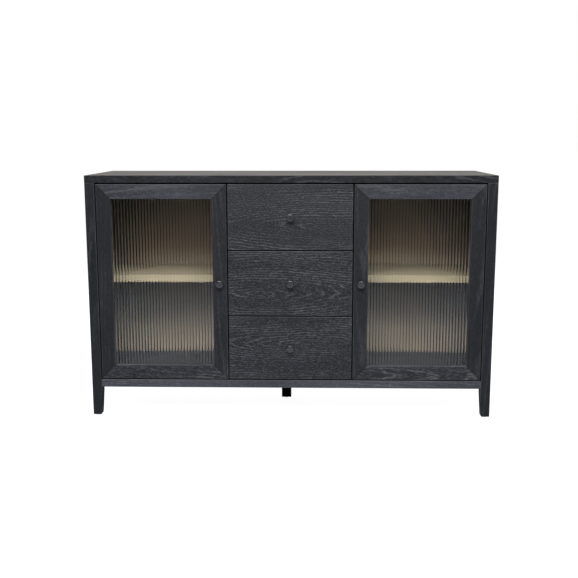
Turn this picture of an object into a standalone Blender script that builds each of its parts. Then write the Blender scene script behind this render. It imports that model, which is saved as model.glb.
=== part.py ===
"""Sideboard buffet: a black open-pore ash carcass on four tapered corner posts
and a centre leg, two glazed doors on pivot pins, three drawers on wooden side
runners, and a natural back panel and shelves behind the glass.

Frame: metres, +Z up, +X to the right as seen from the front, the front faces -Y.
The origin is on the floor, under the middle of the whole box with its knobs.
"""
import math

import bmesh
import bpy

# ---------------------------------------------------------------- dimensions
WIDTH = 1.500            # over the corner posts and the top
DEPTH = 0.460            # front face of the posts to the rear face
HEIGHT = 0.907
KNOB_PROJ = 0.022        # knob, front face of a door to its tip
GAP = 0.0003             # clearance kept between two fixed pieces

TOP_T = 0.027            # top panel
POST_W = 0.036           # post, across
POST_D = 0.043           # post, front to back
FOOT_W = 0.0310          # post at the floor, tapered on its inner sides
FOOT_D = 0.0370
TAPER_Z = 0.090
GLIDE_R = 0.009
GLIDE_H = 0.004

RAIL_Z0 = 0.1125         # front and rear bottom rails
RAIL_Z1 = 0.1425
RAIL_D = 0.022
BOTTOM_T = 0.018
SIDE_T = 0.020           # side panel
SIDE_IN = 0.004          # side panel set in from the posts
PART_X0 = 0.2215         # partition, drawer side face
PART_X1 = 0.2395         # partition, compartment face
BACK_T = 0.009
BACK_IN = 0.009          # back panel set in from the rear

CENTER_LEG_X = -0.021
CENTER_LEG_W = 0.038
CENTER_LEG_Y = 0.038     # middle of the centre leg

SHELF_Z1 = 0.518         # shelf top
SHELF_T = 0.028
SHELF_SETBACK = 0.151    # shelf front edge behind the front face

FRONT_T = 0.020          # doors and drawer fronts
DOOR_XO = 0.7098         # outer edge
DOOR_XI = 0.2332         # inner edge
DOOR_Z0 = 0.1465
DOOR_Z1 = 0.8750
FRAME_W = 0.053          # stile and rail width
EASE = 0.0014            # eased edges
MITRE_EASE = 0.0007      # along the mitres of the door frames
GROOVE_D = 0.008
GLASS_T = 0.005
GLASS_SET = 0.010        # glass behind the front face
PIVOT_IN = 0.016         # pivot axis from the door's outer edge
PIVOT_R = 0.0025

DRAWER_X = 0.2285        # half width of a drawer front
DRAWERS = (("upper", 0.6355, 0.8750), ("middle", 0.3905, 0.6310), ("lower", 0.1470, 0.3860))
BOX_X = 0.2200           # half width of a drawer box
BOX_WALL = 0.014
BOX_Y1 = 0.196
BOX_H = 0.185
BOX_UP = 0.016           # box bottom above the front's lower edge
BASE_T = 0.006
RUNNER_H = 0.018
RUNNER_T = 0.0079
RUNNER_Y0 = -0.1675
DRAWER_TRAVEL = 0.300

KNOB_R = 0.014
DOOR_KNOB_X = 0.260
DOOR_KNOB_Z = 0.510

# ---------------------------------------------------------------- derived
YF = -(DEPTH + KNOB_PROJ) / 2          # knob tips
Y0 = YF + KNOB_PROJ                    # front face of posts, doors and drawers
Y1 = Y0 + DEPTH                        # rear face
HX = WIDTH / 2
TOP_Z0 = HEIGHT - TOP_T
POST_XI = HX - POST_W                  # inner face of a post
SIDE_X1 = HX - SIDE_IN
SIDE_X0 = SIDE_X1 - SIDE_T
BACK_Y1 = Y1 - BACK_IN
BACK_Y0 = BACK_Y1 - BACK_T
FLOOR_Z = RAIL_Z1                      # top of the bottom panel
DOOR_YR = Y0 + FRONT_T                 # rear face of doors and drawer fronts
PART_Y0 = DOOR_YR + 0.002              # front edge of a partition
PIVOT_X = DOOR_XO - PIVOT_IN
PIVOT_Y = Y0 + FRONT_T / 2

for old in list(bpy.data.objects):
    bpy.data.objects.remove(old, do_unlink=True)


# ---------------------------------------------------------------- materials
def material(name, colour, rough, metal=0.0, transmission=0.0):
    m = bpy.data.materials.new(name)
    m.use_nodes = True
    p = m.node_tree.nodes["Principled BSDF"]
    p.inputs["Base Color"].default_value = (*colour, 1.0)
    p.inputs["Roughness"].default_value = rough
    p.inputs["Metallic"].default_value = metal
    p.inputs["Transmission Weight"].default_value = transmission
    m.diffuse_color = (*colour, 1.0)
    return m


BLACK = ("black_ash", (0.030, 0.029, 0.032), 0.42)
KNOB = ("knob_black", (0.032, 0.031, 0.034), 0.38)
NATURAL = ("natural_oak", (0.52, 0.44, 0.31), 0.55)
BOXWOOD = ("drawer_wood", (0.60, 0.50, 0.36), 0.55)
GLASS = ("reeded_glass", (0.86, 0.90, 0.89), 0.05, 0.0, 1.0)
STEEL = ("steel", (0.55, 0.55, 0.56), 0.30, 1.0)
PLASTIC = ("black_plastic", (0.02, 0.02, 0.021), 0.50)


def finish_object(name, bm, spec, centre, parent=None, smooth=False, cutter=False):
    """Turn a bmesh in world coordinates into an object whose origin is centre."""
    for v in bm.verts:
        v.co.x -= centre[0]
        v.co.y -= centre[1]
        v.co.z -= centre[2]
    bmesh.ops.recalc_face_normals(bm, faces=bm.faces[:])
    mesh = bpy.data.meshes.new(name)
    bm.to_mesh(mesh)
    bm.free()
    if smooth:
        mesh.shade_smooth()
        mesh.set_sharp_from_angle(angle=math.radians(35))
    ob = bpy.data.objects.new(name, mesh)
    bpy.context.scene.collection.objects.link(ob)
    if parent is not None:
        ob.parent = parent
        ob.location = [centre[i] - parent.location[i] for i in range(3)]
    else:
        ob.location = centre
    if cutter:
        ob.hide_render = True
        ob.display_type = "WIRE"
    else:
        mesh.materials.append(material(name, *spec[1:]))
    return ob


def middle(bm):
    lo = [min(v.co[i] for v in bm.verts) for i in range(3)]
    hi = [max(v.co[i] for v in bm.verts) for i in range(3)]
    return [(a + b) / 2 for a, b in zip(lo, hi)]


def box_bmesh(x0, x1, y0, y1, z0, z1):
    bm = bmesh.new()
    bmesh.ops.create_cube(bm, size=1.0)
    for v in bm.verts:
        v.co.x = x1 if v.co.x > 0 else x0
        v.co.y = y1 if v.co.y > 0 else y0
        v.co.z = z1 if v.co.z > 0 else z0
    return bm


def ease_edges(bm, offset, segments=1, keep=None):
    edges = [e for e in bm.edges if keep is None or keep(e)]
    bmesh.ops.bevel(bm, geom=edges, offset=offset, segments=segments, profile=0.5,
                    affect="EDGES", clamp_overlap=True)


def board(name, x0, x1, y0, y1, z0, z1, spec, ease=0.0008, segments=1, parent=None):
    bm = box_bmesh(x0, x1, y0, y1, z0, z1)
    if ease:
        ease_edges(bm, ease, segments)
    return finish_object(name, bm, spec, middle(bm), parent)


def outline_board(name, points, axis, a0, a1, spec, parent=None):
    """A board cut to an outline and given its thickness along an axis.

    points are in the plane of the two other axes, in X, Y, Z order.
    """
    bm = bmesh.new()
    ring = []
    for p, q in points:
        co = {0: (a0, p, q), 1: (p, a0, q), 2: (p, q, a0)}[axis]
        ring.append(bm.verts.new(co))
    face = bm.faces.new(ring)
    out = bmesh.ops.extrude_face_region(bm, geom=[face])
    for v in out["geom"]:
        if isinstance(v, bmesh.types.BMVert):
            v.co[axis] = a1
    return finish_object(name, bm, spec, middle(bm), parent)


def turned(name, profile, base, direction, spec, parent=None, steps=24):
    """A solid of revolution: profile is (radius, distance along direction)."""
    bm = bmesh.new()
    d = [0.0, 0.0, 0.0]
    axis, sign = direction
    d[axis] = sign
    u = (axis + 1) % 3
    w = (axis + 2) % 3
    rings = []
    for r, h in profile:
        if r == 0:
            co = list(base)
            co[axis] += sign * h
            rings.append([bm.verts.new(co)])
            continue
        ring = []
        for k in range(steps):
            a = 2 * math.pi * (k + 0.5) / steps
            co = list(base)
            co[axis] += sign * h
            co[u] += r * math.cos(a)
            co[w] += r * math.sin(a)
            ring.append(bm.verts.new(co))
        rings.append(ring)
    for a, b in zip(rings, rings[1:]):
        for k in range(steps):
            n = (k + 1) % steps
            if len(a) == 1:
                bm.faces.new((a[0], b[k], b[n]))
            elif len(b) == 1:
                bm.faces.new((a[k], a[n], b[0]))
            else:
                bm.faces.new((a[k], a[n], b[n], b[k]))
    return finish_object(name, bm, spec, list(base), parent, smooth=True)


def round_hole(target, centre, radius, z0, z1, steps=16):
    """Bore an upright hole with a Boolean."""
    bm = bmesh.new()
    rings = []
    for z in (z0, z1):
        rings.append([bm.verts.new((centre[0] + radius * math.cos(2 * math.pi * (k + 0.5) / steps),
                                    centre[1] + radius * math.sin(2 * math.pi * (k + 0.5) / steps), z))
                      for k in range(steps)])
    bm.faces.new(rings[0][::-1])
    bm.faces.new(rings[1])
    for k in range(steps):
        n = (k + 1) % steps
        bm.faces.new((rings[0][k], rings[0][n], rings[1][n], rings[1][k]))
    cut = finish_object("cut_" + target.name + ("_l" if centre[0] < 0 else "_r"), bm, None,
                        [centre[0], centre[1], (z0 + z1) / 2], cutter=True)
    subtract(target, cut)


def subtract(target, cutter):
    mod = target.modifiers.new("cut", "BOOLEAN")
    mod.operation = "DIFFERENCE"
    mod.solver = "EXACT"
    mod.object = cutter


def box_cutter(name, x0, x1, y0, y1, z0, z1, parent=None):
    bm = box_bmesh(x0, x1, y0, y1, z0, z1)
    return finish_object(name, bm, None, middle(bm), parent, cutter=True)


# ---------------------------------------------------------------- carcass
top = board("top_panel", -HX, HX, Y0, Y1, TOP_Z0, HEIGHT, BLACK, EASE, 2)

for side, s in (("left", -1), ("right", 1)):
    for place, front in (("front", True), ("rear", False)):
        ya = Y0 if front else Y1                 # outer face, front or rear
        t = 1 if front else -1                   # towards the middle of the depth
        bm = bmesh.new()
        rings = []
        for z, w, d in ((GLIDE_H, FOOT_W, FOOT_D), (TAPER_Z, POST_W, POST_D),
                        (TOP_Z0 - GAP, POST_W, POST_D)):
            xo, xi = s * HX, s * (HX - w)
            rings.append([bm.verts.new((x, y, z)) for x, y in
                          ((xo, ya), (xi, ya), (xi, ya + t * d), (xo, ya + t * d))])
        bm.faces.new(rings[0])
        bm.faces.new(rings[-1])
        for a, b in zip(rings, rings[1:]):
            for k in range(4):
                n = (k + 1) % 4
                bm.faces.new((a[k], a[n], b[n], b[k]))
        bmesh.ops.recalc_face_normals(bm, faces=bm.faces[:])
        ease_edges(bm, 0.0015, 2, lambda e: abs(e.verts[0].co.z - e.verts[1].co.z) > 0.01
                   or e.verts[0].co.z < 0.01)
        finish_object(f"leg_{place}_{side}", bm, BLACK,
                      [s * (HX - POST_W / 2), ya + t * POST_D / 2, 0.45])
        turned(f"glide_{place}_{side}",
               ((0, 0), (GLIDE_R - 0.0008, 0), (GLIDE_R, 0.0008), (GLIDE_R, GLIDE_H - GAP),
                (0, GLIDE_H - GAP)),
               (s * (HX - FOOT_W / 2), ya + t * FOOT_D / 2, 0.0), (2, 1), PLASTIC)
    board(f"side_panel_{side}", *sorted((s * SIDE_X0, s * SIDE_X1)),
          Y0 + POST_D + GAP, Y1 - POST_D - GAP, RAIL_Z0, TOP_Z0 - GAP, BLACK)
    board(f"partition_{side}", *sorted((s * PART_X0, s * PART_X1)),
          PART_Y0, BACK_Y0 - GAP, FLOOR_Z + GAP, TOP_Z0 - GAP, BLACK)
    # shelf, with its rear outer corner notched round the rear post
    xa, xb, xc = s * (PART_X1 + GAP), s * (SIDE_X0 - GAP), s * (POST_XI - GAP)
    ys, yn, yb = Y0 + SHELF_SETBACK, Y1 - POST_D - GAP, BACK_Y0 - GAP
    outline_board(f"shelf_{side}",
                  ((xa, ys), (xb, ys), (xb, yn), (xc, yn), (xc, yb), (xa, yb)),
                  2, SHELF_Z1 - SHELF_T, SHELF_Z1, NATURAL)

# bottom panel, notched round the four posts
fy, ry = Y0 + RAIL_D + GAP, Y1 - RAIL_D - GAP
ny, my = Y0 + POST_D + GAP, Y1 - POST_D - GAP
bx, nx = SIDE_X0 - GAP, POST_XI - GAP
outline_board("bottom_panel",
              ((-nx, fy), (nx, fy), (nx, ny), (bx, ny), (bx, my), (nx, my), (nx, ry),
               (-nx, ry), (-nx, my), (-bx, my), (-bx, ny), (-nx, ny)),
              2, FLOOR_Z - BOTTOM_T, FLOOR_Z, BLACK)
front_rail = board("front_rail", -nx, nx, Y0, Y0 + RAIL_D, RAIL_Z0, RAIL_Z1, BLACK, EASE, 2)
board("rear_rail", -nx, nx, Y1 - RAIL_D, Y1, RAIL_Z0, RAIL_Z1, BLACK)
board("back_panel", -nx, nx, BACK_Y0, BACK_Y1, RAIL_Z1 + GAP, TOP_Z0 - GAP, NATURAL)

board("center_leg", CENTER_LEG_X - CENTER_LEG_W / 2, CENTER_LEG_X + CENTER_LEG_W / 2,
      CENTER_LEG_Y - CENTER_LEG_W / 2, CENTER_LEG_Y + CENTER_LEG_W / 2,
      GLIDE_H, FLOOR_Z - BOTTOM_T - GAP, BLACK, 0.0015, 2)
turned("glide_center",
       ((0, 0), (GLIDE_R - 0.0008, 0), (GLIDE_R, 0.0008), (GLIDE_R, GLIDE_H - GAP),
        (0, GLIDE_H - GAP)),
       (CENTER_LEG_X, CENTER_LEG_Y, 0.0), (2, 1), PLASTIC)


# ---------------------------------------------------------------- knobs
KNOB_PROFILE = ((0, 0), (0.0085, 0), (0.0082, 0.0014), (0.0068, 0.0032), (0.0064, 0.0075),
                (0.0080, 0.0108), (0.0126, 0.0124), (KNOB_R, 0.0145), (KNOB_R, 0.0180),
                (0.0134, 0.0202), (0.0118, 0.0214), (0.0100, KNOB_PROJ - GAP),
                (0, KNOB_PROJ - GAP))


def knob(name, x, z, parent):
    return turned(name, KNOB_PROFILE, (x, Y0 - GAP, z), (1, -1), KNOB, parent)


# ---------------------------------------------------------------- doors
def frame_profile():
    """Cross-section of a stile or rail: distance in from the door's edge, then depth.

    A groove in the inner edge holds the glass.
    """
    w, e = FRAME_W, EASE
    gf, gr = Y0 + GLASS_SET - GAP, Y0 + GLASS_SET + GLASS_T + GAP
    h = e * (1 - math.sqrt(0.5))
    return ((e, Y0), (w - e, Y0), (w - h, Y0 + h), (w, Y0 + e), (w, gf), (w - GROOVE_D, gf),
            (w - GROOVE_D, gr), (w, gr), (w, DOOR_YR - 0.0008), (w - 0.0008, DOOR_YR),
            (0.0008, DOOR_YR), (0, DOOR_YR - 0.0008), (0, Y0 + e), (h, Y0 + h))


def frame_member(name, edge, inward, along, a0, a1, parent):
    """A mitred member. edge is the outer edge's place across its length, inward the
    direction to the glass, along the axis (0 or 2) that its length runs in."""
    across = 2 if along == 0 else 0
    bm = bmesh.new()
    rings = [[], []]
    for u, y in frame_profile():
        for ring, end in zip(rings, (a0 + u + GAP / 2, a1 - u - GAP / 2)):
            co = [0.0, y, 0.0]
            co[across] = edge + inward * u
            co[along] = end
            ring.append(bm.verts.new(co))
    n = len(rings[0])
    bm.faces.new(rings[0])
    bm.faces.new(rings[1])
    for k in range(n):
        m = (k + 1) % n
        bm.faces.new((rings[0][k], rings[0][m], rings[1][m], rings[1][k]))
    # the mitre's front edges are eased too, so each corner shows a fine line
    ease_edges(bm, MITRE_EASE, 1, lambda e: all(v.co.y < Y0 + 1e-6 for v in e.verts)
               and abs(e.verts[0].co[across] - e.verts[1].co[across]) > 0.01)
    return finish_object(name, bm, BLACK, middle(bm), parent)


for side, s in (("left", -1), ("right", 1)):
    hinge = bpy.data.objects.new(f"door_{side}_pivot_axis", None)
    bpy.context.scene.collection.objects.link(hinge)
    hinge.location = (s * PIVOT_X, PIVOT_Y, 0.5)
    d = f"door_{side}"
    x0, x1 = sorted((s * DOOR_XO, s * DOOR_XI))
    frame_member(f"{d}_stile_outer", s * DOOR_XO, -s, 2, DOOR_Z0, DOOR_Z1, hinge)
    frame_member(f"{d}_stile_inner", s * DOOR_XI, s, 2, DOOR_Z0, DOOR_Z1, hinge)
    rail_top = frame_member(f"{d}_rail_top", DOOR_Z1, -1, 0, x0, x1, hinge)
    rail_bottom = frame_member(f"{d}_rail_bottom", DOOR_Z0, 1, 0, x0, x1, hinge)
    lap = GROOVE_D - 0.001
    board(f"{d}_glass", x0 + FRAME_W - lap, x1 - FRAME_W + lap,
          Y0 + GLASS_SET, Y0 + GLASS_SET + GLASS_T,
          DOOR_Z0 + FRAME_W - lap, DOOR_Z1 - FRAME_W + lap, GLASS, 0, 1, hinge)
    knob(f"{d}_knob", s * DOOR_KNOB_X, DOOR_KNOB_Z, hinge)

    # pivot pins: the shank goes into the door, the tip turns in the carcass, and the
    # collar stands in the gap between them
    px, py = s * PIVOT_X, PIVOT_Y
    r, c = PIVOT_R, 0.005
    turned(f"{d}_pivot_bottom",
           ((0, 0), (r - 0.0005, 0), (r, 0.0006), (r, 0.0083), (c, 0.0083), (c, 0.0117),
            (r, 0.0117), (r, 0.0226), (0, 0.0226)),
           (px, py, RAIL_Z1 - 0.0080), (2, 1), STEEL, hinge, 16)
    turned(f"{d}_pivot_top",
           ((0, 0), (r - 0.0005, 0), (r, 0.0006), (r, 0.0105), (c, 0.0105), (c, 0.0127),
            (r, 0.0127), (r, 0.0226), (0, 0.0226)),
           (px, py, TOP_Z0 + 0.0080), (2, -1), STEEL, hinge, 16)
    round_hole(front_rail, (px, py), r + 0.0005, RAIL_Z1 - 0.0090, RAIL_Z1 + 0.01)
    round_hole(top, (px, py), r + 0.0005, TOP_Z0 - 0.01, TOP_Z0 + 0.0090)
    round_hole(rail_bottom, (px, py), r + GAP, DOOR_Z0 - 0.01, DOOR_Z0 + 0.0115)
    round_hole(rail_top, (px, py), r + GAP, DOOR_Z1 - 0.0105, DOOR_Z1 + 0.01)

    # magnet catch on the partition and its strike plate on the inner stile
    cx0, cx1 = sorted((s * (PART_X1 + GAP), s * (PART_X1 + 0.0150)))
    board(f"magnet_catch_{side}", cx0, cx1, PART_Y0 + 0.0005, PART_Y0 + 0.0420,
          0.8020, 0.8140, PLASTIC, 0.0008)
    board(f"{d}_strike_plate", cx0, cx1, DOOR_YR + GAP, DOOR_YR + 0.0015,
          0.7980, 0.8180, STEEL, 0.0003, 1, hinge)

# ---------------------------------------------------------------- drawers
for name, z0, z1 in DRAWERS:
    d = f"drawer_{name}"
    slide = bpy.data.objects.new(f"{d}_slide", None)
    bpy.context.scene.collection.objects.link(slide)
    slide.location = (0.0, Y0, (z0 + z1) / 2)
    bm = box_bmesh(-DRAWER_X, DRAWER_X, Y0, DOOR_YR, z0, z1)
    ease_edges(bm, EASE, 2, lambda e: min(e.verts[0].co.y, e.verts[1].co.y) < Y0 + 0.001)
    finish_object(f"{d}_front", bm, BLACK, middle(bm), slide)
    b0, b1 = z0 + BOX_UP, z0 + BOX_UP + BOX_H
    rz = (b0 + b1) / 2
    by0, inner = DOOR_YR + GAP, BOX_X - BOX_WALL
    body = board(f"{d}_box", -BOX_X, BOX_X, by0, BOX_Y1, b0, b1, BOXWOOD, 0, 1, slide)
    gz = b0 + 0.010
    subtract(body, box_cutter(f"cut_{d}_inside", -inner, inner, by0 - 0.05,
                              BOX_Y1 - BOX_WALL, b0 - 0.01, b1 + 0.01, slide))
    subtract(body, box_cutter(f"cut_{d}_base_groove", -inner - 0.0058, inner + 0.0058,
                              by0 - 0.04, BOX_Y1 - BOX_WALL + 0.0058, gz, gz + BASE_T + 2 * GAP,
                              slide))
    for sx, tag in ((-1, "l"), (1, "r")):
        g0, g1 = sorted((sx * (BOX_X - 0.0075), sx * (BOX_X + 0.01)))
        subtract(body, box_cutter(f"cut_{d}_runner_{tag}", g0, g1, RUNNER_Y0 - 0.0005,
                                  BOX_Y1 + 0.05, rz - RUNNER_H / 2 - 0.0005,
                                  rz + RUNNER_H / 2 + 0.0005, slide))
    board(f"{d}_base", -inner - 0.0055, inner + 0.0055, by0, BOX_Y1 - BOX_WALL + 0.0055,
          gz + GAP, gz + GAP + BASE_T, BOXWOOD, 0, 1, slide)
    knob(f"{d}_knob", 0.0, (z0 + z1) / 2, slide)
    for side, s in (("left", -1), ("right", 1)):
        r0, r1 = sorted((s * (PART_X0 - GAP), s * (PART_X0 - GAP - RUNNER_T)))
        board(f"{d}_runner_{side}", r0, r1, RUNNER_Y0, BACK_Y0 - 0.008,
              rz - RUNNER_H / 2, rz + RUNNER_H / 2, BOXWOOD, 0.0006)
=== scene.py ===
"""Looks of the sideboard buffet: black open-pore ash, reeded glass, pale shelves and back,
turned knobs and small fittings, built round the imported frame. Metres, front faces -Y."""
import math
import random

import bmesh
import bpy
from mathutils import Matrix, Vector


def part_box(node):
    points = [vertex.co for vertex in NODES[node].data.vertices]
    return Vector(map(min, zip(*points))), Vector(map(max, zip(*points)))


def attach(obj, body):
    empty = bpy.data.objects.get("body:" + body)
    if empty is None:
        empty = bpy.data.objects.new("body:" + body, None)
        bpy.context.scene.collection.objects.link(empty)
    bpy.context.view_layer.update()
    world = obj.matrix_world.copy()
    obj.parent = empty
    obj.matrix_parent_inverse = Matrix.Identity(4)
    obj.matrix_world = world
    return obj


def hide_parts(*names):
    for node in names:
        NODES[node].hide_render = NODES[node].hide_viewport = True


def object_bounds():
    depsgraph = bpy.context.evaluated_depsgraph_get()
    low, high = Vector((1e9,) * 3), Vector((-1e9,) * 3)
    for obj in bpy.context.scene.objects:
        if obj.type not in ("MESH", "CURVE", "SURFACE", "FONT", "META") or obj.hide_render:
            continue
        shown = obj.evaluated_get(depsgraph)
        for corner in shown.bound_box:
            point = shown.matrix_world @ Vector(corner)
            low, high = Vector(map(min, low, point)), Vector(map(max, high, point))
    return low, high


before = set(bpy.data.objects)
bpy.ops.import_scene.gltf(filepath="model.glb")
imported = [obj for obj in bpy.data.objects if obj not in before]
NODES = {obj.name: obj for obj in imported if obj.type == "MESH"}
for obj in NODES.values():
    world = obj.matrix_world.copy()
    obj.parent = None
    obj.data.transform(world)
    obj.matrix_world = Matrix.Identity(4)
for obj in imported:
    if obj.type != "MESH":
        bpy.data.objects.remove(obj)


def numbers(box):
    return [[float(v) for v in corner] for corner in box]


CAD_BOX = numbers(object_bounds())
random.seed(7)

FLOOR_GLOW, SHEET = 0.95, 0.46
AMBIENT, ZENITH, REAR, KEY, FILL = 0.08, 0.85, 1.0, 118.0, 8.0


# =====================================================================  camera and light
def make_camera():
    yaw, pitch, roll = -0.02488, 0.17368, -0.00111
    fwd = Vector((math.sin(yaw) * math.cos(pitch), math.cos(yaw) * math.cos(pitch), -math.sin(pitch)))
    right = Vector((math.cos(yaw), -math.sin(yaw), 0.0))
    up = right.cross(fwd)
    r2 = right * math.cos(roll) + up * math.sin(roll)
    u2 = up * math.cos(roll) - right * math.sin(roll)
    m = Matrix((r2, u2, -fwd)).transposed().to_4x4()
    m.translation = Vector((0.0734, -3.3538, 1.0411))
    data = bpy.data.cameras.new("camera")
    data.sensor_width = 36.0
    data.lens = 862.2 / 578.0 * 36.0
    data.clip_end = 100.0
    cam = bpy.data.objects.new("camera", data)
    cam.matrix_world = m
    bpy.context.scene.collection.objects.link(cam)
    bpy.context.scene.camera = cam


def area_light(name, place, target, size, power, colour=(1, 1, 1)):
    data = bpy.data.lights.new(name, "AREA")
    data.shape = "RECTANGLE"
    data.size, data.size_y = size
    data.energy = power
    data.color = colour
    ob = bpy.data.objects.new(name, data)
    ob.location = place
    ob.rotation_euler = (Vector(target) - Vector(place)).to_track_quat("-Z", "Y").to_euler()
    bpy.context.scene.collection.objects.link(ob)
    return ob


def make_light():
    """A white sweep all round: brighter behind and overhead, dimmer in front."""
    world = bpy.data.worlds.new("studio")
    bpy.context.scene.world = world
    world.use_nodes = True
    nt = world.node_tree
    nt.nodes.clear()
    out = nt.nodes.new("ShaderNodeOutputWorld")
    tc = nt.nodes.new("ShaderNodeTexCoord")
    sep = nt.nodes.new("ShaderNodeSeparateXYZ")
    nt.links.new(tc.outputs["Generated"], sep.inputs[0])

    def span(value, lo, hi, to_lo, to_hi):
        n = nt.nodes.new("ShaderNodeMapRange")
        n.interpolation_type = "SMOOTHSTEP"
        nt.links.new(value, n.inputs["Value"])
        for k, v in (("From Min", lo), ("From Max", hi), ("To Min", to_lo), ("To Max", to_hi)):
            n.inputs[k].default_value = v
        return n.outputs[0]

    behind = span(sep.outputs["Y"], 0.35, 0.95, 0.0, REAR)
    above = span(sep.outputs["Z"], 0.25, 0.95, AMBIENT, ZENITH)
    add = nt.nodes.new("ShaderNodeMath")
    add.operation = "ADD"
    nt.links.new(behind, add.inputs[0])
    nt.links.new(above, add.inputs[1])
    soft = nt.nodes.new("ShaderNodeBackground")
    tint = nt.nodes.new("ShaderNodeMix")
    tint.data_type = "RGBA"
    nt.links.new(span(sep.outputs["Y"], 0.1, 0.7, 0.0, 1.0), tint.inputs[0])
    tint.inputs[6].default_value = (0.97, 0.99, 1.0, 1)
    tint.inputs[7].default_value = (1.0, 0.955, 0.895, 1)
    nt.links.new(tint.outputs[2], soft.inputs["Color"])
    nt.links.new(add.outputs[0], soft.inputs["Strength"])
    seen = nt.nodes.new("ShaderNodeBackground")
    seen.inputs["Color"].default_value = (1, 1, 1, 1)
    seen.inputs["Strength"].default_value = 1.0
    path = nt.nodes.new("ShaderNodeLightPath")
    mix = nt.nodes.new("ShaderNodeMixShader")
    nt.links.new(path.outputs["Is Camera Ray"], mix.inputs[0])
    nt.links.new(soft.outputs[0], mix.inputs[1])
    nt.links.new(seen.outputs[0], mix.inputs[2])
    nt.links.new(mix.outputs[0], out.inputs["Surface"])
    area_light("key", (-0.1, -2.9, 2.75), (0.0, 0.0, 0.45), (2.6, 0.9), KEY, (0.975, 0.985, 1.0))
    area_light("front_fill", (0.6, -4.8, 2.0), (0.0, 0.0, 0.5), (2.6, 1.8), FILL)


def make_floor():
    bm = bmesh.new()
    bmesh.ops.create_grid(bm, x_segments=1, y_segments=1, size=40.0)
    mesh = bpy.data.meshes.new("studio_floor")
    bm.to_mesh(mesh)
    bm.free()
    ob = bpy.data.objects.new("studio_floor", mesh)
    ob.location = (0, 0, CAD_BOX[0][2] - 0.0002)
    bpy.context.scene.collection.objects.link(ob)
    mat = bpy.data.materials.new("pale_floor")
    mat.use_nodes = True
    nt = mat.node_tree
    p = nt.nodes["Principled BSDF"]
    # a pale sheet round the piece; further off the floor gives back little light
    tc = nt.nodes.new("ShaderNodeTexCoord")
    far = nt.nodes.new("ShaderNodeVectorMath")
    far.operation = "LENGTH"
    nt.links.new(tc.outputs["Object"], far.inputs[0])
    ramp = nt.nodes.new("ShaderNodeMapRange")
    ramp.interpolation_type = "SMOOTHSTEP"
    for k, v in (("From Min", 2.2), ("From Max", 4.8), ("To Min", SHEET), ("To Max", 0.05)):
        ramp.inputs[k].default_value = v
    nt.links.new(far.outputs["Value"], ramp.inputs["Value"])
    shade = nt.nodes.new("ShaderNodeVectorMath")
    shade.operation = "SCALE"
    shade.inputs[0].default_value = (0.91, 1.0, 1.12)
    nt.links.new(ramp.outputs[0], shade.inputs["Scale"])
    nt.links.new(shade.outputs[0], p.inputs["Base Color"])
    p.inputs["Roughness"].default_value = 0.8
    p.inputs["Specular IOR Level"].default_value = 0.1
    # a lit sweep: it looks white, and still takes a soft shadow
    glow = nt.nodes.new("ShaderNodeEmission")
    path = nt.nodes.new("ShaderNodeLightPath")
    nt.links.new(path.outputs["Is Camera Ray"], glow.inputs["Strength"])
    glow.inputs["Color"].default_value = (FLOOR_GLOW, FLOOR_GLOW, FLOOR_GLOW, 1)
    both = nt.nodes.new("ShaderNodeAddShader")
    nt.links.new(p.outputs[0], both.inputs[0])
    nt.links.new(glow.outputs[0], both.inputs[1])
    nt.links.new(both.outputs[0], nt.nodes["Material Output"].inputs["Surface"])
    ob.data.materials.append(mat)


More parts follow.
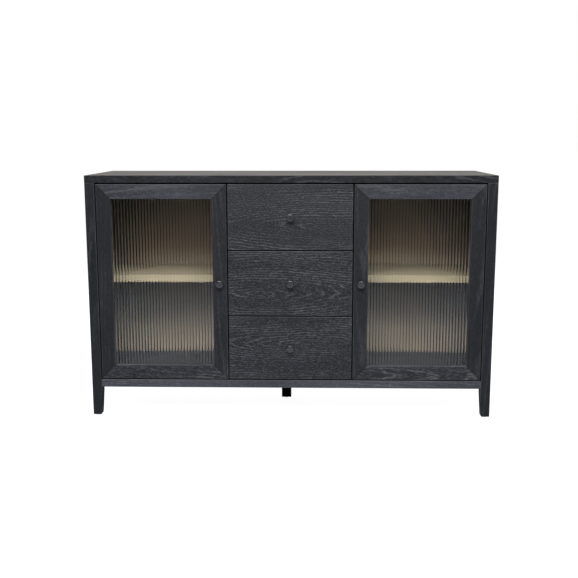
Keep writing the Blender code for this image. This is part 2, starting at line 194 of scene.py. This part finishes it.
# =====================================================================  shader helpers
class Net:
    """A short way to write node trees."""

    def __init__(self, name):
        self.mat = bpy.data.materials.new(name)
        self.mat.use_nodes = True
        self.nt = self.mat.node_tree
        self.bsdf = self.nt.nodes["Principled BSDF"]
        self.out = self.nt.nodes["Material Output"]

    def put(self, socket, value):
        if isinstance(value, bpy.types.NodeSocket):
            self.nt.links.new(value, socket)
        elif value is not None:
            socket.default_value = value

    def math(self, op, a, b=None, c=None, clamp=False):
        n = self.nt.nodes.new("ShaderNodeMath")
        n.operation = op
        n.use_clamp = clamp
        for s, v in zip(n.inputs, (a, b, c)):
            self.put(s, v)
        return n.outputs[0]

    def vec(self, op, a, b=None, scale=None):
        n = self.nt.nodes.new("ShaderNodeVectorMath")
        n.operation = op
        self.put(n.inputs[0], a)
        self.put(n.inputs[1], b)
        if scale is not None:
            self.put(n.inputs["Scale"], scale)
        return n.outputs[0]

    def noise(self, vector, scale=1.0, detail=2.0, rough=0.5):
        n = self.nt.nodes.new("ShaderNodeTexNoise")
        self.put(n.inputs["Vector"], vector)
        n.inputs["Scale"].default_value = scale
        n.inputs["Detail"].default_value = detail
        n.inputs["Roughness"].default_value = rough
        return n.outputs["Fac"]

    def span(self, value, lo, hi, to_lo=0.0, to_hi=1.0, smooth=True):
        n = self.nt.nodes.new("ShaderNodeMapRange")
        n.interpolation_type = "SMOOTHSTEP" if smooth else "LINEAR"
        self.put(n.inputs["Value"], value)
        for k, v in (("From Min", lo), ("From Max", hi), ("To Min", to_lo), ("To Max", to_hi)):
            n.inputs[k].default_value = v
        return n.outputs[0]

    def mix(self, fac, a, b, blend="MIX"):
        n = self.nt.nodes.new("ShaderNodeMix")
        n.data_type = "RGBA"
        n.blend_type = blend
        self.put(n.inputs[0], fac)
        for s, v in ((n.inputs[6], a), (n.inputs[7], b)):
            self.put(s, (*v, 1.0) if isinstance(v, tuple) and len(v) == 3 else v)
        return n.outputs[2]

    def bump(self, height, strength, distance):
        n = self.nt.nodes.new("ShaderNodeBump")
        n.inputs["Strength"].default_value = strength
        n.inputs["Distance"].default_value = distance
        self.put(n.inputs["Height"], height)
        self.put(self.bsdf.inputs["Normal"], n.outputs[0])

    def place(self, order, offset):
        """Object coordinates put in the order along the grain, across it, into the board."""
        tc = self.nt.nodes.new("ShaderNodeTexCoord")
        sep = self.nt.nodes.new("ShaderNodeSeparateXYZ")
        self.nt.links.new(tc.outputs["Object"], sep.inputs[0])
        com = self.nt.nodes.new("ShaderNodeCombineXYZ")
        for i, axis in enumerate(order):
            self.nt.links.new(sep.outputs[axis], com.inputs[i])
        return self.vec("ADD", com.outputs[0], offset)

    def recess(self, kind, *v):
        """A mask over the faces of a board that look into a gap, where painted shade goes."""
        tc = self.nt.nodes.new("ShaderNodeTexCoord")
        x, y, z = self.split(tc.outputs["Object"])
        behind = self.span(y, -0.2178, -0.2155)
        if kind in ("round", "frame"):  # all four edges of a door or a drawer front
            x0, x1, z0, z1 = v
            dx = self.math("MINIMUM", self.math("SUBTRACT", x, x0), self.math("SUBTRACT", x1, x))
            dz = self.math("MINIMUM", self.math("SUBTRACT", z, z0), self.math("SUBTRACT", z1, z))
            m = self.math("MULTIPLY", self.span(self.math("MINIMUM", dx, dz), 0.0003, 0.0009, 1.0, 0.0), behind)
            if kind == "round":
                return m
            # and the glue line along each mitre, where the stain has gathered
            skew = self.math("ABSOLUTE", self.math("SUBTRACT", dx, dz))
            return self.math("MAXIMUM", m, self.span(skew, 0.0006, 0.0014, 0.9, 0.0))
        if kind == "post":              # the face of a front post beside the door
            d = self.math("ABSOLUTE", self.math("SUBTRACT", self.math("ABSOLUTE", x), v[0]))
            m = self.math("MULTIPLY", self.span(d, 0.0003, 0.0009, 1.0, 0.0), behind)
            return self.math("MULTIPLY", m, self.span(z, v[1], v[1] + 0.002))
        if kind == "inside":            # the inner face of a side panel
            return self.span(self.math("ABSOLUTE", x), v[0] + 0.0003, v[0] + 0.0010, 0.8, 0.0)
        if kind == "level":             # an upper or a lower face
            d = self.math("ABSOLUTE", self.math("SUBTRACT", z, v[0]))
            return self.math("MULTIPLY", self.span(d, 0.0003, 0.0009, 1.0, 0.0), behind)
        return self.span(y, v[0], v[0] + 0.0008, 1.0, 0.0)      # a front edge

    def split(self, vector):
        sep = self.nt.nodes.new("ShaderNodeSeparateXYZ")
        self.nt.links.new(vector, sep.inputs[0])
        return sep.outputs[0], sep.outputs[1], sep.outputs[2]


def wood(name, order, centre, seed, look, light_gain=1.0, half=None, mitred=False, recess=None):
    """Flat-sawn timber. The growth rings are cylinders about a pith that leans away from the
    board, so their cut edges make long arches. The open pores crowd along each ring."""
    rng = random.Random(seed)
    n = Net(name)
    mid = [centre[i] for i in order]
    here = n.place(order, tuple(-m for m in mid))
    shift = (rng.uniform(3, 40), rng.uniform(3, 40), rng.uniform(3, 40))
    field = n.vec("ADD", here, shift)
    a, b, c = n.split(here)
    slow = n.noise(n.vec("MULTIPLY", field, (2.0, 7.0, 7.0)), 1.0, 2.0)
    slow2 = n.noise(n.vec("MULTIPLY", n.vec("ADD", field, (9.1, 4.7, 2.3)), (7.0, 26.0, 26.0)), 1.0, 3.0)
    wander = n.math("MULTIPLY", n.math("SUBTRACT", slow, 0.5), look["wander"])
    wander2 = n.math("MULTIPLY", n.math("SUBTRACT", slow2, 0.5), look["wander"] * 0.35)
    bb = n.math("ADD", n.math("ADD", b, wander), rng.uniform(-0.035, 0.035))
    lean = n.math("MULTIPLY_ADD", a, look["lean"] * rng.choice((-1, 1)), look["pith"] * rng.uniform(0.7, 1.3))
    hh = n.math("ADD", n.math("ADD", c, lean), wander2)
    r = n.math("SQRT", n.math("ADD", n.math("MULTIPLY", bb, bb), n.math("MULTIPLY", hh, hh)))
    jag = n.noise(n.vec("MULTIPLY", field, (26.0, 210.0, 210.0)), 1.0, 3.0, 0.6)
    phase = n.math("ADD", n.math("DIVIDE", r, look["ring"]), n.math("MULTIPLY", jag, look.get("jag", 1.1)))
    ring = n.math("FRACT", phase)
    line = n.math("MULTIPLY", n.span(ring, 0.0, 0.08), n.span(ring, 0.12, 0.42, 1.0, 0.0))
    tone = n.noise(n.vec("MULTIPLY", field, (2.2, 16.0, 16.0)), 1.0, 2.0)
    breaks = n.noise(n.vec("MULTIPLY", field, (26.0, 330.0, 330.0)), 1.0, 2.0, 0.6)
    line = n.math("MULTIPLY", line, n.span(tone, 0.38, 0.60, 0.12, 1.0))
    line = n.math("MULTIPLY", line, n.span(breaks, 0.32, 0.52, 0.12, 1.0))
    mottle = n.noise(n.vec("MULTIPLY", field, (look.get("short", 75.0), 300.0, 300.0)), 1.0, 3.0, 0.7)
    mottle = n.span(mottle, 0.42, 0.68)
    fine = n.noise(n.vec("MULTIPLY", field, (75.0, 1700.0, 1700.0)), 1.0, 1.0)
    crowd = n.math("ADD", n.math("MULTIPLY", line, look["line"]), n.math("MULTIPLY", mottle, look["mottle"]))
    pores = n.math("MULTIPLY", n.span(fine, 0.44, 0.56, 0.25, 1.0), crowd)
    cloud = n.noise(n.vec("MULTIPLY", field, (3.0, 7.0, 7.0)), 1.0, 3.0)
    # light_gain scales the board's colours: painted light and shade, lighter for parts the light falls on, darker for
    # parts in shade
    dark = tuple(v * light_gain for v in look["dark"])
    mid_c = tuple(v * light_gain for v in look["mid"])
    base = n.mix(n.span(cloud, 0.32, 0.68), dark, mid_c)
    base = n.mix(pores, base, tuple(v * min(light_gain * 1.05, 1.2) for v in look["light"]))
    if half and look.get("edge"):
        # eased edges are painted a little paler: partly rubbed wear, partly a painted highlight where they catch the
        # light
        ha, hb = half[order[0]], half[order[1]]
        db = n.math("SUBTRACT", hb, n.math("ABSOLUTE", b))
        d = db if mitred else n.math("MINIMUM", db, n.math("SUBTRACT", ha, n.math("ABSOLUTE", a)))
        rubbed_and_lit_edge = n.math("MULTIPLY", n.span(d, 0.0004, 0.0026, 1.0, 0.0), n.span(tone, 0.30, 0.60, 0.35, 1.0))
        base = n.mix(n.math("MULTIPLY", rubbed_and_lit_edge, look["edge"]), base, tuple(v * 1.05 for v in look["light"]))
    rough = n.math("ADD", n.math("MULTIPLY", pores, look["rough_grain"]),
                   n.math("MULTIPLY_ADD", cloud, look.get("cloud", 0.12),
                          look["rough"] - look.get("cloud", 0.12) / 2))
    if look.get("face"):
        # the front edge of the slab is rougher than its top, and is painted darker than the lit top: painted shade
        tc = n.nt.nodes.new("ShaderNodeTexCoord")
        y0, amount = look["face"]
        shaded_front = n.span(n.split(tc.outputs["Object"])[1], y0 + 0.0006, y0 + 0.0020, 1.0, 0.0)
        rough = n.math("MULTIPLY_ADD", shaded_front, amount, rough)
        base = n.mix(shaded_front, base, n.mix(pores, (0.0020, 0.0020, 0.0026), (0.080, 0.080, 0.090)))
    if recess:
        # faces that look into a gap are painted near-black and dull: painted shade where little light gets in; for door
        # frames the mask also holds the dark glue line along each mitre
        m = n.recess(*recess)
        base = n.mix(m, base, (0.0022, 0.0022, 0.0024))
        rough = n.math("ADD", rough, n.math("MULTIPLY", m, 0.45), clamp=True)
    n.put(n.bsdf.inputs["Base Color"], base)
    n.put(n.bsdf.inputs["Roughness"], rough)
    n.bsdf.inputs["Specular IOR Level"].default_value = look["spec"]
    height = n.math("SUBTRACT", n.math("MULTIPLY", mottle, -0.25), n.math("MULTIPLY", line, 0.6))
    height = n.math("SUBTRACT", height, n.math("MULTIPLY", fine, 0.35))
    n.bump(height, look["bump"], look["depth"])
    return n.mat


BLACK = dict(dark=(0.0110, 0.0109, 0.0136), mid=(0.0158, 0.0157, 0.0192), light=(0.150, 0.149, 0.165),
             line=0.78, mottle=0.40, ring=0.0082, wander=0.055, lean=0.13, pith=0.022,
             rough=0.46, rough_grain=0.12, bump=0.5, depth=0.0005, spec=0.30, edge=0.30)
UPRIGHT = dict(BLACK, ring=0.0065, wander=0.012, lean=0.02, pith=0.10, jag=0.7, line=0.34, mottle=0.17,
               edge=0.38, bump=0.35)
RAIL = dict(BLACK, ring=0.0070, wander=0.020, lean=0.04, pith=0.08, line=0.62, mottle=0.46, edge=0.34)
NATURAL = dict(dark=(0.400, 0.330, 0.222), mid=(0.465, 0.385, 0.262), light=(0.27, 0.205, 0.13),
               line=0.40, mottle=0.22, ring=0.0085, wander=0.040, lean=0.12, pith=0.05,
               rough=0.54, rough_grain=0.08, bump=0.2, depth=0.0003, spec=0.35)
BOXWOOD = dict(dark=(0.56, 0.46, 0.33), mid=(0.64, 0.54, 0.40), light=(0.40, 0.30, 0.19),
               line=0.28, mottle=0.16, ring=0.006, wander=0.025, lean=0.06, pith=0.07,
               rough=0.52, rough_grain=0.06, bump=0.15, depth=0.00025, spec=0.35)


def middle(node):
    lo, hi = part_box(node)
    return [(lo[i] + hi[i]) / 2 for i in range(3)]


def plain(name, colour, rough, metal=0.0, grain=400.0, vary=0.12, depth=0.0001, strength=0.25, coat=0.0):
    """Moulded plastic or painted and brushed metal: fine grain in colour, sheen and surface."""
    n = Net(name)
    tc = n.nt.nodes.new("ShaderNodeTexCoord")
    fine = n.noise(tc.outputs["Object"], grain, 3.0, 0.6)
    broad = n.noise(tc.outputs["Object"], 18.0, 2.0)
    lo = tuple(v * (1 - vary) for v in colour)
    hi = tuple(min(v * (1 + vary), 1) for v in colour)
    n.put(n.bsdf.inputs["Base Color"], n.mix(n.span(fine, 0.3, 0.7), lo, hi))
    n.put(n.bsdf.inputs["Roughness"], n.math("ADD", n.math("MULTIPLY", broad, 0.12),
                                             n.math("MULTIPLY_ADD", fine, 0.08, rough - 0.10)))
    n.bsdf.inputs["Metallic"].default_value = metal
    n.bsdf.inputs["Coat Weight"].default_value = coat
    n.bump(fine, strength, depth)
    return n.mat


def brushed_steel(name, order=(2, 0, 1)):
    n = Net(name)
    here = n.place(order, (0.0, 0.0, 0.0))
    lines = n.noise(n.vec("MULTIPLY", here, (60.0, 2600.0, 2600.0)), 1.0, 3.0)
    broad = n.noise(here, 60.0, 2.0)
    n.put(n.bsdf.inputs["Base Color"], n.mix(n.span(lines, 0.3, 0.7), (0.44, 0.44, 0.45), (0.62, 0.62, 0.63)))
    n.put(n.bsdf.inputs["Roughness"], n.math("ADD", n.math("MULTIPLY", lines, 0.18),
                                             n.math("MULTIPLY_ADD", broad, 0.10, 0.18)))
    n.bsdf.inputs["Metallic"].default_value = 1.0
    n.bump(lines, 0.2, 0.00005)
    return n.mat


def reeded_glass():
    """Clear glass with faint draw lines. Lamps shine through it, as they do through a real pane."""
    n = Net("reeded_glass")
    here = n.place((2, 0, 1), (0.0, 0.0, 0.0))
    wave = n.noise(n.vec("MULTIPLY", here, (5.0, 90.0, 90.0)), 1.0, 2.0)
    smear = n.noise(here, 9.0, 3.0)
    b = n.bsdf
    n.put(b.inputs["Base Color"], n.mix(smear, (0.915, 0.928, 0.908), (0.95, 0.960, 0.942)))
    n.put(b.inputs["Roughness"], n.span(smear, 0.3, 0.8, 0.010, 0.035))
    b.inputs["Transmission Weight"].default_value = 1.0
    b.inputs["IOR"].default_value = 1.50
    b.inputs["Specular IOR Level"].default_value = 0.35
    n.bump(wave, 0.08, 0.0003)
    clear = n.nt.nodes.new("ShaderNodeBsdfTransparent")
    clear.inputs["Color"].default_value = (0.87, 0.88, 0.865, 1)
    path = n.nt.nodes.new("ShaderNodeLightPath")
    mix = n.nt.nodes.new("ShaderNodeMixShader")
    n.nt.links.new(path.outputs["Is Shadow Ray"], mix.inputs[0])
    n.nt.links.new(b.outputs[0], mix.inputs[1])
    n.nt.links.new(clear.outputs[0], mix.inputs[2])
    n.nt.links.new(mix.outputs[0], n.out.inputs["Surface"])
    return n.mat


def dress(node, mat):
    ob = NODES[node]
    ob.data.materials.clear()
    ob.data.materials.append(mat)
    return ob


# =====================================================================  mesh helpers
def mesh_object(name, bm, mat, body, angle=35.0):
    bmesh.ops.recalc_face_normals(bm, faces=bm.faces[:])
    mesh = bpy.data.meshes.new(name)
    bm.to_mesh(mesh)
    bm.free()
    mesh.shade_smooth()
    mesh.set_sharp_from_angle(angle=math.radians(angle))
    ob = bpy.data.objects.new(name, mesh)
    bpy.context.scene.collection.objects.link(ob)
    mesh.materials.append(mat)
    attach(ob, body)
    return ob


def lathe(bm, profile, base, axis, sign, steps):
    """Adds a turned solid to bm: profile is (radius, distance from base along the axis)."""
    u, w = (axis + 1) % 3, (axis + 2) % 3
    rings = []
    for r, h in profile:
        co = list(base)
        co[axis] += sign * h
        if r == 0:
            rings.append([bm.verts.new(co)])
            continue
        ring = []
        for k in range(steps):
            t = 2 * math.pi * k / steps
            p = list(co)
            p[u] += r * math.cos(t)
            p[w] += r * math.sin(t)
            ring.append(bm.verts.new(p))
        rings.append(ring)
    for a, b in zip(rings, rings[1:]):
        for k in range(steps):
            m = (k + 1) % steps
            if len(a) == 1:
                bm.faces.new((a[0], b[k], b[m]))
            elif len(b) == 1:
                bm.faces.new((a[k], a[m], b[0]))
            else:
                bm.faces.new((a[k], a[m], b[m], b[k]))


def arc(cx, cy, r, a0, a1, n):
    return [(cx + r * math.cos(math.radians(a0 + (a1 - a0) * i / n)),
             cy + r * math.sin(math.radians(a0 + (a1 - a0) * i / n))) for i in range(n + 1)]


# =====================================================================  pieces
def make_knob(node, body, mat):
    lo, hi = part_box(node)
    cx, cz = (lo.x + hi.x) / 2, (lo.z + hi.z) / 2
    length = hi.y - lo.y
    R = 0.0140
    profile = [(0, 0), (0.0086, 0.0), (0.0090, 0.0006), (0.0089, 0.0013), (0.0080, 0.0022)]
    # the neck sweeps in and out again under the head
    for i in range(9):
        t = i / 8
        profile.append((0.0064 + 0.0013 * (2 * t - 1) ** 2 + 0.0022 * max(0.0, t - 0.6) / 0.4 * t, 0.0030 + 0.0078 * t))
    profile += [(0.0112, 0.0116)]
    profile += arc(R - 0.0022, 0.0140, 0.0022, -68, 0, 5)
    rim = 0.0026
    profile += arc(R - rim, length - rim - 0.0006, rim, 0, 78, 7)
    profile += [(0.0096, length - 0.0003), (0.0080, length - 0.00005), (0.0060, length - 0.0001),
                (0.0030, length - 0.0002), (0, length - 0.0002)]
    bm = bmesh.new()
    lathe(bm, profile, (cx, hi.y, cz), 1, -1, 72)
    ob = mesh_object(node + "_turned", bm, mat, body, 50)
    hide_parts(node)
    return ob


def make_glide(node, mat):
    lo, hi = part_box(node)
    cx, cy = (lo.x + hi.x) / 2, (lo.y + hi.y) / 2
    R = (hi.x - lo.x) / 2
    h = hi.z - lo.z
    bm = bmesh.new()
    profile = [(0, 0.0), (R * 0.62, 0.0)] + arc(R - 0.0016, 0.0016, 0.0016, -90, 0, 6) + [(R, h - 0.0003), (R - 0.0003, h), (0, h)]
    lathe(bm, profile, (cx, cy, lo.z), 2, 1, 48)
    ob = mesh_object(node + "_moulded", bm, mat, "carcass", 40)
    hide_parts(node)


def make_pane(side, mat):
    """Reeded pane: upright convex reeds in front, flat behind."""
    node = f"door_{side}_glass"
    lo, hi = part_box(node)
    edge = 0.0075                       # what the groove hides
    x0, x1 = lo.x + edge, hi.x - edge
    reeds = round((x1 - x0) / 0.0113)
    pitch = (x1 - x0) / reeds
    high = 0.0032
    front = lo.y + 0.0001
    half = pitch / 2
    R = (half * half + high * high) / (2 * high)
    per = 12
    xs, ys = [lo.x], [front + high]
    for i in range(reeds):
        for k in range(per):
            t = -half + pitch * k / per
            y = front + (R - math.sqrt(R * R - t * t))
            xs.append(x0 + half + i * pitch + t)
            ys.append(y)
    xs += [x1, hi.x]
    ys += [front + high, front + high]
    back = hi.y - 0.0001
    bm = bmesh.new()
    rows = []
    for z in (lo.z, hi.z):
        rows.append(([bm.verts.new((x, y, z)) for x, y in zip(xs, ys)],
                     [bm.verts.new((x, back, z)) for x in xs]))
    (f0, b0), (f1, b1) = rows
    for k in range(len(xs) - 1):
        bm.faces.new((f0[k], f0[k + 1], f1[k + 1], f1[k]))
        bm.faces.new((b0[k + 1], b0[k], b1[k], b1[k + 1]))
        bm.faces.new((f0[k + 1], f0[k], b0[k], b0[k + 1]))
        bm.faces.new((f1[k], f1[k + 1], b1[k + 1], b1[k]))
    bm.faces.new((f0[0], f1[0], b1[0], b0[0]))
    bm.faces.new((f1[-1], f0[-1], b0[-1], b1[-1]))
    ob = mesh_object(f"door_{side}_reeded_pane", bm, mat, f"door_{side}", 30)
    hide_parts(node)


def screw(name, place, axis, sign, body, mat, r=0.0036, rise=0.0016):
    """A countersunk-look pan screw with a cross recess."""
    bm = bmesh.new()
    profile = [(0, 0), (r, 0.0), (r, 0.0003)]
    profile += [(r * math.cos(math.radians(t)), 0.0003 + (rise - 0.0003) * math.sin(math.radians(t))) for t in (20, 40, 60, 75)]
    profile += [(0, rise)]
    lathe(bm, profile, place, axis, sign, 24)
    ob = mesh_object(name, bm, mat, body, 40)
    cut = bmesh.new()
    for turn in (0, 1):
        size = [0, 0, 0]
        u, w = (axis + 1) % 3, (axis + 2) % 3
        size[axis] = 0.0016
        size[u if turn else w] = r * 1.05
        size[w if turn else u] = r * 0.26
        made = bmesh.ops.create_cube(cut, size=1.0)
        for v in made["verts"]:
            for i in range(3):
                v.co[i] = v.co[i] * size[i] + place[i] + (sign * (rise) if i == axis else 0)
    cm = bpy.data.meshes.new(name + "_recess")
    cut.to_mesh(cm)
    cut.free()
    co = bpy.data.objects.new(name + "_recess", cm)
    bpy.context.scene.collection.objects.link(co)
    mod = ob.modifiers.new("recess", "BOOLEAN")
    mod.operation = "DIFFERENCE"
    mod.solver = "EXACT"
    mod.use_self = True
    mod.object = co
    bpy.context.view_layer.update()
    dg = bpy.context.evaluated_depsgraph_get()
    done = bpy.data.meshes.new_from_object(ob.evaluated_get(dg))
    ob.modifiers.clear()
    ob.data = done
    bpy.data.objects.remove(co)
    return ob


# =====================================================================  build
make_camera()
make_light()
make_floor()

# (along the grain, across it, into the board) as axes of the frame
H_FRONT, V_FRONT, V_SIDE, H_TOP, Y_SIDE = (0, 2, 1), (2, 0, 1), (2, 1, 0), (0, 1, 2), (1, 2, 0)
black_boards = {
    "top_panel": H_TOP, "bottom_panel": H_TOP, "side_panel_left": V_SIDE, "side_panel_right": V_SIDE,
    "partition_left": V_SIDE, "partition_right": V_SIDE, "front_rail": H_FRONT, "rear_rail": H_FRONT,
    "leg_front_left": V_FRONT, "leg_front_right": V_FRONT, "leg_rear_left": V_FRONT,
    "leg_rear_right": V_FRONT, "center_leg": V_FRONT,
}
for s in ("left", "right"):
    black_boards[f"door_{s}_stile_outer"] = V_FRONT
    black_boards[f"door_{s}_stile_inner"] = V_FRONT
    black_boards[f"door_{s}_rail_top"] = H_FRONT
    black_boards[f"door_{s}_rail_bottom"] = H_FRONT
for d in ("upper", "middle", "lower"):
    black_boards[f"drawer_{d}_front"] = H_FRONT
# each part's black is made lighter or darker by how the light falls on it: painted light and shade on copies of one
# material (the top-lit rails lighter, the centre leg near-black)
PAINTED_LIGHT_TONE = (("center_leg", 0.10), ("leg_front", 0.66), ("leg_rear", 0.80), ("side_panel", 0.80), ("top_panel", 0.28),
        ("bottom_panel", 1.1), ("partition", 0.8), ("front_rail", 3.6), ("stile_outer", 0.72),
        ("stile_inner", 0.90), ("rail_top", 2.3), ("rail_bottom", 1.15), ("drawer", 0.86))


def half(node):
    lo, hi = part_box(node)
    return [(hi[i] - lo[i]) / 2 for i in range(3)]


def recess_of(node):
    if node.startswith("drawer_"):
        lo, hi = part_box(node)
        return ("round", lo.x, hi.x, lo.z, hi.z)
    if node.startswith("door_"):
        side = node.split("_")[1]
        lo0, hi0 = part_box(f"door_{side}_stile_outer")
        lo1, hi1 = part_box(f"door_{side}_stile_inner")
        return ("frame", min(lo0.x, lo1.x), max(hi0.x, hi1.x), lo0.z, hi0.z)
    if node.startswith("leg_front"):
        lo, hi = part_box(node)
        return ("post", min(abs(lo.x), abs(hi.x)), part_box("front_rail")[1].z)
    if node == "front_rail":
        return ("level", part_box(node)[1].z)
    if node.startswith("side_panel"):
        lo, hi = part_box(node)
        return ("inside", min(abs(lo.x), abs(hi.x)))
    if node.startswith("partition"):
        return ("front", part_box(node)[0].y + 0.0008)
    if node == "top_panel":
        return ("level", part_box(node)[0].z)
    return None


for i, (node, order) in enumerate(black_boards.items()):
    light_gain = next((v for k, v in PAINTED_LIGHT_TONE if k in node), 1.0)
    look = BLACK if "panel" in node else RAIL
    if "drawer" in node:
        look = dict(BLACK, short=150.0, mottle=0.56, line=0.80, jag=0.75)
    if order[0] == 2:
        look = UPRIGHT
    if node == "top_panel":
        look = dict(BLACK, light=(0.62, 0.60, 0.60), line=0.95, mottle=0.42, cloud=0.20, rough=0.44,
                    rough_grain=0.40, bump=0.9, spec=0.30, face=(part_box(node)[0].y, 0.12))
    if "rail_top" in node:
        look = dict(RAIL, line=0.40, mottle=0.30, wander=0.010, lean=0.015, pith=0.12)
    if node == "center_leg":
        look = dict(UPRIGHT, spec=0.08)
    dress(node, wood("ash_" + node, order, middle(node), 100 + i, look, light_gain, half(node),
                     node.startswith("door_"), recess_of(node)))

for i, node in enumerate(("shelf_left", "shelf_right")):
    dress(node, wood("oak_" + node, H_TOP, middle(node), 300 + i, NATURAL))
dress("back_panel", wood("oak_back_panel", H_FRONT, middle("back_panel"), 310,
                         dict(NATURAL, dark=(0.365, 0.285, 0.213), mid=(0.430, 0.338, 0.254), line=0.75, mottle=0.42)))
for i, d in enumerate(("upper", "middle", "lower")):
    for j, (part, order) in enumerate((("box", Y_SIDE), ("base", H_TOP), ("runner_left", Y_SIDE), ("runner_right", Y_SIDE))):
        node = f"drawer_{d}_{part}"
        dress(node, wood("pale_" + node, order, middle(node), 400 + 10 * i + j, BOXWOOD))

STEEL = brushed_steel("steel")
DARK_STEEL = plain("dark_steel", (0.035, 0.034, 0.034), 0.36, metal=0.9, grain=900.0)
PLASTIC = plain("black_plastic", (0.018, 0.018, 0.019), 0.46)
KNOB = wood("knob_black", V_FRONT, (0, 0, 0), 77,
            dict(BLACK, dark=(0.022, 0.0215, 0.024), mid=(0.028, 0.0275, 0.030), line=0.10, mottle=0.10,
                 bump=0.10, depth=0.0002, rough=0.25, ring=0.004, spec=0.9))
GLASS = reeded_glass()

for s in ("left", "right"):
    make_pane(s, GLASS)
    make_knob(f"door_{s}_knob", f"door_{s}", KNOB)
    dress(f"magnet_catch_{s}", PLASTIC)
    for part in ("pivot_top", "pivot_bottom"):
        dress(f"door_{s}_{part}", DARK_STEEL)
    dress(f"door_{s}_strike_plate", STEEL)
for d in ("upper", "middle", "lower"):
    make_knob(f"drawer_{d}_knob", f"drawer_{d}", KNOB)
for g in ("front_left", "front_right", "rear_left", "rear_right", "center"):
    make_glide(f"glide_{g}", PLASTIC)

# ---- small fittings
for s, sg in (("left", -1), ("right", 1)):
    # a thin batten under the top, clear of the door's outer corner as it turns on its pins
    part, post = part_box(f"partition_{s}"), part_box(f"leg_front_{s}")
    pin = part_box(f"door_{s}_pivot_top")
    top_z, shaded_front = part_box("top_panel")[0].z, (pin[0].y + pin[1].y) / 2 + 0.0215
    xa = sg * (max(abs(part[0].x), abs(part[1].x)) + 0.0004)
    xb = sg * (min(abs(post[0].x), abs(post[1].x)) - 0.0004)
    bm = bmesh.new()
    made = bmesh.ops.create_cube(bm, size=1.0)
    lo, hi = Vector((min(xa, xb), shaded_front, top_z - 0.0135)), Vector((max(xa, xb), shaded_front + 0.008, top_z - 0.0003))
    for v in made["verts"]:
        v.co = Vector([(lo[i] + hi[i]) / 2 + v.co[i] * (hi[i] - lo[i]) for i in range(3)])
    bmesh.ops.bevel(bm, geom=bm.edges[:], offset=0.0010, segments=2, profile=0.5, affect="EDGES")
    # the batten's black is halved (0.5): painted shade in the gap under the top
    mesh_object(f"top_batten_{s}", bm, wood(f"ash_top_batten_{s}", H_FRONT, list((lo + hi) / 2), 520 + (sg > 0),
                                           RAIL, 0.5), "carcass", 40)
for s, sg in (("left", -1), ("right", 1)):
    klo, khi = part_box(f"door_{s}_knob")
    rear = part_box(f"door_{s}_stile_inner")[1].y
    screw(f"door_{s}_knob_screw", ((klo.x + khi.x) / 2, rear - 0.0001, (klo.z + khi.z) / 2), 1, 1,
          f"door_{s}", STEEL, 0.0042, 0.0018)
    clo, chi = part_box(f"magnet_catch_{s}")
    face = chi.x if sg > 0 else clo.x
    for k, y in enumerate((clo.y + 0.011, chi.y - 0.008)):
        screw(f"magnet_catch_{s}_screw_{k}", (face - sg * 0.0001, y, (clo.z + chi.z) / 2), 0, sg,
              "carcass", STEEL, 0.0027, 0.0010)
for d in ("upper", "middle", "lower"):
    klo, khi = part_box(f"drawer_{d}_knob")
    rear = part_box(f"drawer_{d}_front")[1].y
    screw(f"drawer_{d}_knob_screw", ((klo.x + khi.x) / 2, rear - 0.0001, (klo.z + khi.z) / 2), 1, 1,
          f"drawer_{d}", STEEL, 0.0042, 0.0018)
blo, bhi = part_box("back_panel")
spots = [(x, z) for z in (blo.z + 0.012, bhi.z - 0.012) for x in (-0.66, -0.44, -0.2305, 0.0, 0.2305, 0.44, 0.66)]
spots += [(x, z) for x in (blo.x + 0.010, -0.2305, 0.2305, bhi.x - 0.010) for z in (0.33, 0.51, 0.69)]
for k, (x, z) in enumerate(spots):
    screw(f"back_panel_screw_{k:02d}", (x, bhi.y - 0.0001, z), 1, 1, "carcass", DARK_STEEL, 0.0036, 0.0014)

bpy.context.scene.view_settings.view_transform = "Standard"
bpy.context.scene.view_settings.look = "None"
